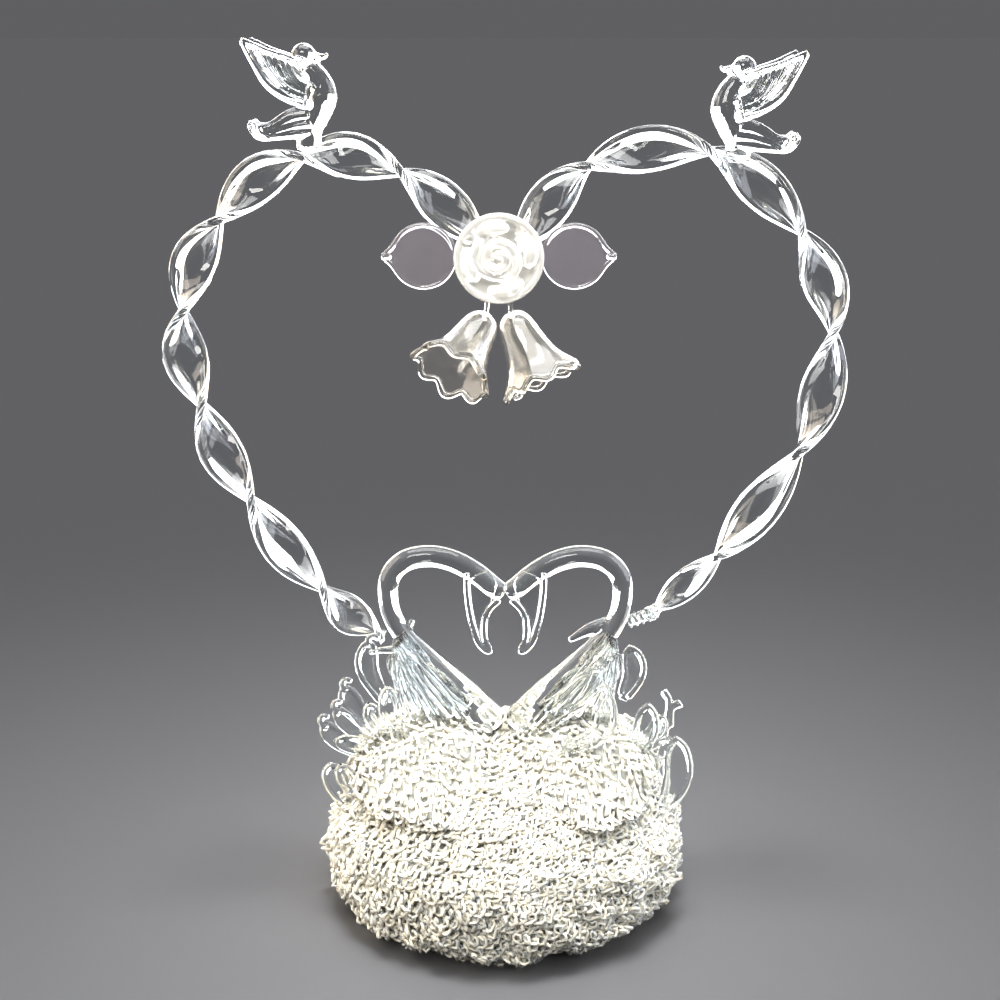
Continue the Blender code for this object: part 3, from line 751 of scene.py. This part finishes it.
ROSE = Vector((-1.2, -3.05, 127.76))
ROSE_RADIUS = 8.2
ROSE_DEPTH = 6.0
ROSE_PROFILE = [(0.0, -0.5), (0.40, -0.47), (0.72, -0.30), (0.93, 0.0), (1.0, 0.24), (0.96, 0.33),
                (0.89, 0.26), (0.84, 0.05), (0.62, -0.12), (0.0, -0.16)]
ROSE_RING = 7.5
ROSE_GRAIN = 0.25
PETAL_REACH = 5.7
PETAL_SWEEP = 1.12
PETAL_RADII = [0.7, 1.15, 1.35, 1.4, 1.35, 1.15, 0.7]
WOUND_TURNS = 2.1
WOUND_POINTS = 34
WOUND_WALLS = ((0.2, 1.0), (1.5, 0.72))
LEAF_LENGTH = 13.8
LEAF_WIDTH = 12.2
LEAF_TUCK = 0.6
LEAF_RIM = 0.44
LEAF_INSET = 0.45
LEAF_TIP_TURN = 0.42
LEAF_GRAIN = 0.20
LEAF_THIN = 0.075


def rose():
    """Turned cup with its rim, the petals round it and the wound one, melted together."""
    fine = through([(r * ROSE_RADIUS, 0.0, h * ROSE_DEPTH) for r, h in ROSE_PROFILE], 5)
    pieces = [clean_mesh(turned([Vector((max(0.0, p.x), 0.0, p.z)) * MM for p in fine], 64))]
    ring = []
    for k in range(24):
        angle = math.pi * k / 12
        ring.append(Vector((ROSE_RING * math.cos(angle), ROSE_RING * math.sin(angle), 1.4)) * MM)
    pieces.append(drawn(ring, 0.66, 4, closed=True))
    for quarter in range(4):
        line = []
        for k in range(7):
            angle = math.pi / 2 * quarter + 0.25 + (k / 6 - 0.5) * PETAL_SWEEP
            reach = PETAL_REACH + 0.25 * math.sin(3 * angle)
            line.append(Vector((reach * math.cos(angle), reach * math.sin(angle),
                                0.6 + 1.1 * math.sin(math.pi * k / 6))) * MM)
        pieces.append(drawn(line, PETAL_RADII, 5))
    for height, radius in WOUND_WALLS:
        line = []
        for k in range(WOUND_POINTS + 1):
            share = k / WOUND_POINTS
            angle = 2 * math.pi * WOUND_TURNS * share + 1.9
            reach = 4.5 - 3.9 * share + 0.35 * math.sin(2.5 * angle) * (1 - share)
            line.append(Vector((reach * math.cos(angle), reach * math.sin(angle),
                                height + 1.3 * share + 0.25 * math.sin(2.5 * angle))) * MM)
        pieces.append(drawn(line, radius, 3))
    whole = melted(pieces, ROSE_GRAIN, 2)
    whole.data.transform(Matrix.Translation(ROSE * MM) @ Matrix.Rotation(math.pi / 2, 4, "X"))
    return finished(whole, "rose_wound", seedy_glass, "clear_glass", "rose")


def leaf(name, side):
    """Flat web with a round rim, drawn out to a tip, melted together."""
    half = LEAF_WIDTH / 2
    start = ROSE.x + side * (ROSE_RADIUS - LEAF_TUCK)
    plane = ROSE.y + ROSE_DEPTH / 4
    outline = []
    for k in range(24):
        angle = 2 * math.pi * k / 24
        away = min(angle, 2 * math.pi - angle)
        reach = half - LEAF_INSET
        reach += (LEAF_LENGTH - LEAF_WIDTH) * max(0.0, 1 - away / LEAF_TIP_TURN) ** 1.6
        outline.append(Vector((start + side * (half + reach * math.cos(angle)), 0.0,
                               ROSE.z + reach * math.sin(angle))) * MM)
    rim = drawn(outline, LEAF_RIM, 3, closed=True)
    tip = outline[0]
    nub = drawn([tip - Vector((side * 1.2 * MM, 0, 0)), tip, tip + Vector((side * 0.35 * MM, 0, 0))],
                [0.5, 0.75, 0.5], 4)
    bpy.ops.object.select_all(action="DESELECT")
    bpy.ops.mesh.primitive_uv_sphere_add(segments=48, ring_count=24, radius=(half - 0.2) * MM,
                                         scale=(1, LEAF_THIN, 1),
                                         location=Vector((start + side * half, 0.0, ROSE.z)) * MM)
    bpy.ops.object.transform_apply(location=True, rotation=True, scale=True)
    web = bpy.context.object
    whole = melted([web, rim, nub], LEAF_GRAIN, 2)
    whole.data.transform(Matrix.Translation((0, plane * MM, 0)))
    return finished(whole, name + "_pressed", leaf_glass, "clear_glass", name)


# Seedy rose glass: wound many times in the flame, so it holds fine bubbles that turn it whitish
seedy_glass, tree = new_material("seedy_rose_glass")
place = add_node(tree, "ShaderNodeTexCoord")
seeds = add_node(tree, "ShaderNodeTexNoise", {"Scale": 1 / (1.6 * MM), "Detail": 2.0},
                 {"Vector": (place, "Object")})
bump = add_node(tree, "ShaderNodeBump", {"Strength": 0.3, "Distance": 0.15 * MM},
                {"Height": (seeds, "Fac")})
shader = add_node(tree, "ShaderNodeBsdfPrincipled",
                  {"Base Color": linear("#FFFEFA"), "Transmission Weight": 0.72, "IOR": GLASS_IOR,
                   "Roughness": 0.03},
                  {"Normal": (bump, "Normal")})
add_node(tree, "ShaderNodeOutputMaterial", {}, {"Surface": (shader, "BSDF")})

# Pressed leaf glass: the same clear glass, with the fine veins and slight haze of the press
leaf_glass, tree = new_material("pressed_leaf_glass")
place = add_node(tree, "ShaderNodeTexCoord")
stretch = add_node(tree, "ShaderNodeMapping", {"Scale": (0.25, 1.0, 1.0)},
                   {"Vector": (place, "Object")})
veins = add_node(tree, "ShaderNodeTexNoise", {"Scale": 1 / (0.8 * MM), "Detail": 2.0},
                 {"Vector": (stretch, "Vector")})
bump = add_node(tree, "ShaderNodeBump", {"Strength": 0.35, "Distance": 0.1 * MM},
                {"Height": (veins, "Fac")})
shader = add_node(tree, "ShaderNodeBsdfPrincipled",
                  {"Base Color": linear("#ECE6EC"), "Transmission Weight": 0.95, "IOR": GLASS_IOR,
                   "Roughness": 0.12},
                  {"Normal": (bump, "Normal")})
add_node(tree, "ShaderNodeOutputMaterial", {}, {"Surface": (shader, "BSDF")})

rose()
leaf("leaf_left", -1)
leaf("leaf_right", 1)

# Bells. Two thin bells pulled from a gather, 14 mm across the wavy mouth, hazy from the flame, each
# hung from the rose by a hair of clear thread.

BELL_LENGTH = 13.2
BELL_MOUTH = 7.0
BELL_WALL = 0.6
BELL_RIM = 0.55
BELL_PROFILE = [(0.10, 0.0), (0.22, 0.02), (0.34, 0.09), (0.41, 0.20), (0.46, 0.36), (0.52, 0.52),
                (0.61, 0.68), (0.74, 0.82), (0.90, 0.93), (1.0, 1.0)]
BELL_WAVES = (0.13, 0.12, 1.6)
THREAD_RADII = [0.55, 0.42, 0.45]
LEFT_BELL = (Vector((-3.60, -5.15, 117.16)), Vector((-0.455, -0.64, -0.63)))
RIGHT_BELL = (Vector((0.95, -2.15, 117.16)), Vector((0.443, -0.25, -0.86)))

# Pulled glass, hazy: thin and slightly milky from the flame's water, with a bright rim
hazy_glass, tree = new_material("hazy_pulled_glass")
place = add_node(tree, "ShaderNodeTexCoord")
haze = add_node(tree, "ShaderNodeTexNoise", {"Scale": 1 / (3.0 * MM), "Detail": 3.0},
                {"Vector": (place, "Object")})
rough = add_node(tree, "ShaderNodeMapRange", {"To Min": 0.02, "To Max": 0.16},
                 {"Value": (haze, "Fac")})
bump = add_node(tree, "ShaderNodeBump", {"Strength": 0.3, "Distance": 0.3 * MM},
                {"Height": (haze, "Fac")})
shader = add_node(tree, "ShaderNodeBsdfPrincipled",
                  {"Base Color": linear("#F6F3EC"), "Transmission Weight": 0.98, "IOR": GLASS_IOR},
                  {"Normal": (bump, "Normal"), "Roughness": (rough, "Result")})
add_node(tree, "ShaderNodeOutputMaterial", {}, {"Surface": (shader, "BSDF")})


def bell(name, root, axis, phase):
    """A ring is drawn out ring by ring to the mouth, made wavy, and given its wall and its rim."""
    bpy.ops.object.select_all(action="DESELECT")
    bpy.ops.mesh.primitive_circle_add(vertices=56, radius=BELL_PROFILE[0][0] * BELL_MOUTH * MM,
                                      fill_type="TRIFAN")
    shell = bpy.context.object
    bpy.ops.object.mode_set(mode="EDIT")
    bpy.ops.mesh.select_mode(type="EDGE")
    bpy.ops.mesh.select_all(action="SELECT")
    bpy.ops.mesh.region_to_loop()
    for (r, h), (wider, lower) in zip(BELL_PROFILE, BELL_PROFILE[1:]):
        bpy.ops.mesh.extrude_region_move(
            TRANSFORM_OT_translate={"value": (0, 0, (lower - h) * BELL_LENGTH * MM)})
        bpy.ops.transform.resize(value=(wider / r, wider / r, 1),
                                 center_override=(0, 0, lower * BELL_LENGTH * MM))
    bpy.ops.object.mode_set(mode="OBJECT")
    fold, frill, dip = BELL_WAVES
    mouth = []
    for vertex in shell.data.vertices:
        x, y, z = vertex.co
        share = z / (BELL_LENGTH * MM)
        angle = math.atan2(y, x) + phase
        wave = max(0.0, share - 0.35) ** 2
        grow = 1 + wave * (fold * math.cos(5 * angle) + frill * math.cos(8 * angle + 1.0))
        vertex.co.x *= grow
        vertex.co.y *= grow
        vertex.co.z += wave * dip * MM * math.cos(8 * angle + 0.8)
        if share > 0.999:
            mouth.append((math.atan2(y, x), vertex.co.copy()))
    clean_mesh(shell)
    rim = drawn([co for _, co in sorted(mouth, key=lambda pair: pair[0])], BELL_RIM, 2, closed=True)
    bpy.context.view_layer.objects.active = shell
    walled(shell, BELL_WALL)
    soft = shell.modifiers.new("Soft", "SUBSURF")
    soft.levels = 1
    soft.render_levels = 1
    bpy.ops.object.modifier_apply(modifier=soft.name)
    turn = Vector((0, 0, 1)).rotation_difference(axis.normalized()).to_matrix().to_4x4()
    for piece in (shell, rim):
        piece.data.transform(Matrix.Translation(root * MM) @ turn)
    sideways = 2.1 if root.x > ROSE.x else -2.1
    hook = Vector((ROSE.x + sideways, ROSE.y + 0.6, ROSE.z - ROSE_RADIUS + 0.2))
    hair = [(root + axis * 0.6) * MM, (root * 0.6 + hook * 0.4) * MM, hook * MM]
    thread = drawn(hair, THREAD_RADII, 5)
    return finished(joined([shell, rim, thread]), name + "_pulled", hazy_glass, "frosted_glass", name)


bell("bell_left", *LEFT_BELL, 0.3)
bell("bell_right", *RIGHT_BELL, 1.1)

# Doves, of clear borosilicate. One on each lobe, 19 mm tall: a thick S-bent body, a ball of a head
# with a pulled beak, an upturned tail and two raised wings with the tong marks running to their
# tips, all melted together and sunk a little into the ribbon.

DOVE_SINK = 2.4
DOVE_GRAIN = 0.25
DOVE_BODY = [
    (-1.1, -0.6, 2.2), (-1.1, 0.7, 2.3), (-0.8, 3.3, 2.3), (0.5, 6.1, 2.6), (1.4, 8.8, 2.9),
    (1.1, 11.4, 2.3), (-0.6, 14.0, 1.8),
]
DOVE_HEAD = (-1.6, 16.0, 2.2)
DOVE_BEAK = [(-0.2, 15.7, 1.2), (1.1, 15.7, 0.8), (2.2, 15.8, 0.5), (2.7, 16.4, 0.3)]
DOVE_TAIL = [
    [(-1.3, 5.7, 1.9), (-4.4, 5.2, 1.4), (-7.6, 3.6, 1.0), (-10.1, 3.4, 0.8), (-11.5, 4.4, 0.7)],
    [(-1.3, 4.2, 1.9), (-4.3, 3.8, 1.3), (-7.6, 2.8, 1.0), (-9.9, 2.7, 0.8), (-11.4, 4.0, 0.7)],
    [(-1.3, 2.8, 1.7), (-4.2, 2.5, 1.2), (-7.5, 2.0, 0.9), (-9.8, 2.0, 0.8), (-11.2, 3.5, 0.7)],
]
DOVE_WING_RAYS = [
    [(-0.6, 7.7, 1.1), (-4.2, 8.6, 0.9), (-7.6, 10.9, 0.8), (-9.8, 14.4, 0.6), (-11.9, 18.6, 0.5)],
    [(-0.6, 8.5, 1.1), (-4.2, 9.9, 0.8), (-6.7, 12.7, 0.6), (-9.2, 17.1, 0.5)],
    [(-0.4, 9.2, 1.1), (-3.6, 10.9, 0.8), (-5.4, 13.4, 0.6), (-6.7, 16.5, 0.5)],
    [(-0.2, 9.9, 1.1), (-2.7, 11.6, 0.8), (-3.8, 13.6, 0.6), (-4.4, 15.7, 0.5)],
    [(-1.5, 14.4, 0.8), (-4.2, 15.7, 0.6), (-7.9, 17.0, 0.5), (-11.9, 18.8, 0.5)],
]
DOVE_WING_WEB = [(-1.0, 9.0, 1.5), (-4.2, 11.8, 2.8), (-7.5, 14.7, 2.4), (-11.5, 18.4, 0.4)]
DOVE_WEB_THIN = 0.17
DOVE_WING_ROOT = 1.6
DOVE_WING_SPREAD = 0.32
DOVE_TAIL_LINES = (-2.4, -0.8, 0.8, 2.4)


def dove(name, side, x_share, foot):
    """Body, head, beak, tail and wings round a foot at that height (mm), melted together."""
    def spot(along, up, y=0.0):
        return Vector((side * x_share * HEART_HALF - side * along, HEART_PLANE + y, foot + up)) * MM

    pieces = [drawn([spot(a, up) for a, up, _ in DOVE_BODY], row_radii(DOVE_BODY), 8, 6)]
    bpy.ops.object.select_all(action="DESELECT")
    bpy.ops.mesh.primitive_uv_sphere_add(segments=32, ring_count=16, radius=DOVE_HEAD[2] * MM,
                                         location=spot(*DOVE_HEAD[:2]))
    bpy.ops.object.transform_apply(location=True, rotation=True, scale=True)
    pieces.append(bpy.context.object)
    pieces.append(drawn([spot(a, up) for a, up, _ in DOVE_BEAK], row_radii(DOVE_BEAK), 5))
    for ray in DOVE_TAIL:
        for y in DOVE_TAIL_LINES:
            line = [spot(a, up, y * (0.35 + 0.22 * k)) for k, (a, up, _) in enumerate(ray)]
            pieces.append(drawn(line, row_radii(ray), 4))
    for hand in (-1, 1):
        for ray in DOVE_WING_RAYS:
            line = [spot(a, up, hand * (DOVE_WING_ROOT + DOVE_WING_SPREAD * abs(a))) for a, up, _ in ray]
            pieces.append(drawn(line, row_radii(ray), 5))
        middle = [spot(a, up, -HEART_PLANE) for a, up, _ in DOVE_WING_WEB]
        web = flat_pressed(drawn(middle, row_radii(DOVE_WING_WEB), 6), DOVE_WEB_THIN)
        for vertex in web.data.vertices:
            along = abs(vertex.co.x / MM - side * x_share * HEART_HALF)
            vertex.co.y += (HEART_PLANE + hand * (DOVE_WING_ROOT + DOVE_WING_SPREAD * along)) * MM
        pieces.append(web)
    whole = melted(pieces, DOVE_GRAIN, 2)
    return finished(whole, name + "_figure", clear_glass, "clear_glass", name)


for dove_name, dove_side, dove_share in (("dove_left", -1, 0.566), ("dove_right", 1, 0.675)):
    dove(dove_name, dove_side, dove_share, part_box(dove_name)[0].z / MM - DOVE_SINK)

# Studio: a matt floor with its own soft sun and pool of light, soft panels round the topper that
# light it and not the floor, a fill light for the whitish glass, and two low cards whose light the
# clear rods bend to their edges. The camera stands where the photographer did.

WORLD_LIGHT = 0.12
FLOOR_SUN = 0.44
FLOOR_POOL = 16.0
PANEL_AIM = Vector((0, 0, 0.08))
CARD_OUT = 0.158
CARD_BACK = 0.07
CARD_HEIGHT = 0.004
CARD_SIZE = (0.18, 0.24)
CARD_POWER = 0.9
CAMERA_SPOT = (-0.001, -0.304, 0.1675)
CAMERA_PITCH = 74.2

bpy.ops.object.select_all(action="DESELECT")
bpy.ops.mesh.primitive_plane_add(size=60.0)
floor = bpy.context.object
floor.name = "studio_floor"
floor_paint, tree = new_material("matt_floor_paint")
shader = add_node(tree, "ShaderNodeBsdfPrincipled", {"Base Color": linear("#B4B4B8"), "Roughness": 0.9})
add_node(tree, "ShaderNodeOutputMaterial", {}, {"Surface": (shader, "BSDF")})
floor.data.materials.append(floor_paint)

world = bpy.data.worlds.new("studio")
world.use_nodes = True
tree = world.node_tree
tree.nodes.clear()
sky = add_node(tree, "ShaderNodeBackground", {"Color": linear("#FAFAFF"), "Strength": WORLD_LIGHT})
add_node(tree, "ShaderNodeOutputWorld", {}, {"Surface": (sky, "Background")})
bpy.context.scene.world = world

topper_pieces = bpy.data.collections.new("lit_by_panels")
for piece in bpy.data.objects:
    if piece.type == "MESH" and piece != floor and not piece.hide_render:
        topper_pieces.objects.link(piece)

whitish_pieces = bpy.data.collections.new("lit_by_fill_light")
clear_pieces = bpy.data.collections.new("lit_by_cards")
for piece in topper_pieces.objects:
    is_clear = piece.data.materials[0] in (clear_glass, pulled_wing_glass)
    (clear_pieces if is_clear else whitish_pieces).objects.link(piece)


def soft_light(name, spot, turn, size, power, colour, receivers):
    """Rectangle of soft light (metres, watts) that the camera doesn't see, for those pieces only."""
    bpy.ops.object.light_add(type="AREA", location=spot, rotation=turn)
    light = bpy.context.object
    light.name = name
    light.data.shape = "RECTANGLE"
    light.data.size = size[0]
    light.data.size_y = size[1]
    light.data.energy = power
    light.data.color = linear(colour)[:3]
    light.visible_camera = False
    light.light_linking.receiver_collection = receivers


for light_name, spot, size, power, colour, receivers in (
        ("left_back_panel", (-0.58, 0.54, 0.24), (0.68, 0.80), 11.0, "#FFEFD9", topper_pieces),
        ("right_back_panel", (0.58, 0.54, 0.24), (0.68, 0.80), 11.0, "#F1F5FF", topper_pieces),
        ("left_panel", (-0.50, -0.10, 0.22), (0.30, 0.60), 3.0, "#FFF1E0", topper_pieces),
        ("right_panel", (0.50, -0.10, 0.22), (0.30, 0.60), 3.0, "#F1F5FF", topper_pieces),
        ("back_panel", (0.0, 0.95, 0.62), (1.70, 0.85), 17.0, "#FFFFFF", topper_pieces),
        ("top_panel", (0.0, 0.00, 0.65), (0.60, 0.40), 6.0, "#FFFFFF", topper_pieces),
        ("front_panel", (-0.15, -0.50, 0.50), (0.30, 0.20), 3.5, "#FFFDF8", topper_pieces),
        ("whitish_light", (0.0, -0.26, 0.58), (0.60, 0.40), 6.4, "#FFFDF8", whitish_pieces)):
    aim = (PANEL_AIM - Vector(spot)).to_track_quat("-Z", "Y").to_euler()
    soft_light(light_name, spot, aim, size, power, colour, receivers)

for light_name, x in (("left_card", -CARD_OUT), ("right_card", CARD_OUT)):
    soft_light(light_name, (x, CARD_BACK, CARD_HEIGHT), (math.pi, 0, 0), CARD_SIZE, CARD_POWER,
               "#FFFFFF", clear_pieces)

floor_only = bpy.data.collections.new("lit_by_floor_sun")
floor_only.objects.link(floor)
bpy.ops.object.light_add(type="SUN", location=(0.0, 0.0, 1.0))
sun = bpy.context.object
sun.name = "floor_sun"
sun.data.energy = FLOOR_SUN
sun.data.angle = math.radians(60)
sun.light_linking.receiver_collection = floor_only
bpy.ops.object.light_add(type="SPOT", location=(0.0, -0.05, 0.90))
pool = bpy.context.object
pool.name = "floor_pool"
pool.data.energy = FLOOR_POOL
pool.data.spot_size = math.radians(26)
pool.data.spot_blend = 1.0
pool.data.shadow_soft_size = 0.15
pool.light_linking.receiver_collection = floor_only

bpy.ops.object.camera_add(location=CAMERA_SPOT, rotation=(math.radians(CAMERA_PITCH), 0, 0))
camera = bpy.context.object
camera.data.lens = 60.0
camera.data.sensor_width = 36.0
bpy.context.scene.camera = camera
bpy.context.scene.view_settings.view_transform = "Standard"
